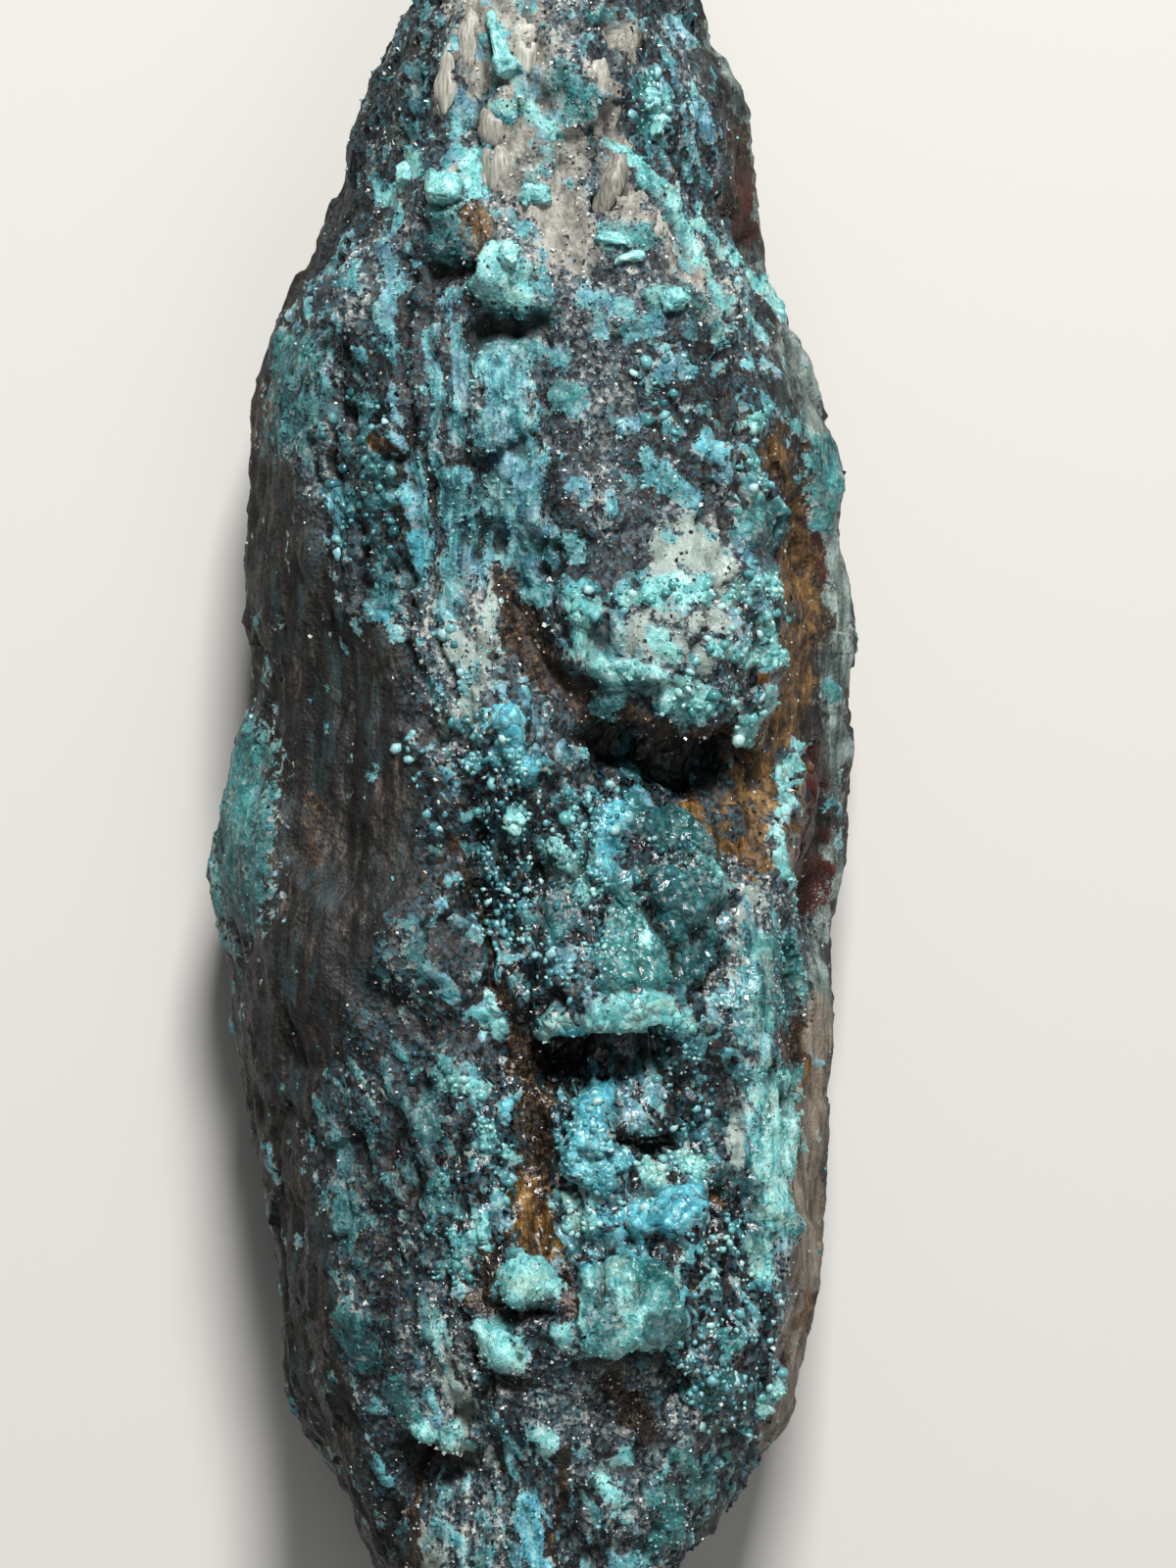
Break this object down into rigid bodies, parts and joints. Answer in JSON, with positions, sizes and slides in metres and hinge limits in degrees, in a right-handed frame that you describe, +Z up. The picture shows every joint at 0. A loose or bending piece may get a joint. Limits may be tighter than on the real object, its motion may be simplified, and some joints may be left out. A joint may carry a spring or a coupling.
{
  "type": "raw turquoise nugget",
  "caption": "Long rough lump of dark host rock veined and crusted with turquoise, lying on its broken back; a mineral specimen to look at, hold or display.",
  "frame": {"origin": "middle of the nugget's outline seen from above, on the flat broken back that it rests on", "axes": "+Y along the nugget to its narrower, paler end; +X to the right of the weathered front; +Z up, out of the weathered front"},
  "size_m": [0.025, 0.073, 0.0168],
  "materials": {
    "turquoise_in_host_rock": "satin"
  },
  "bodies": {
    "root": {"nugget": "turquoise_in_host_rock"}
  },
  "joints": []
}
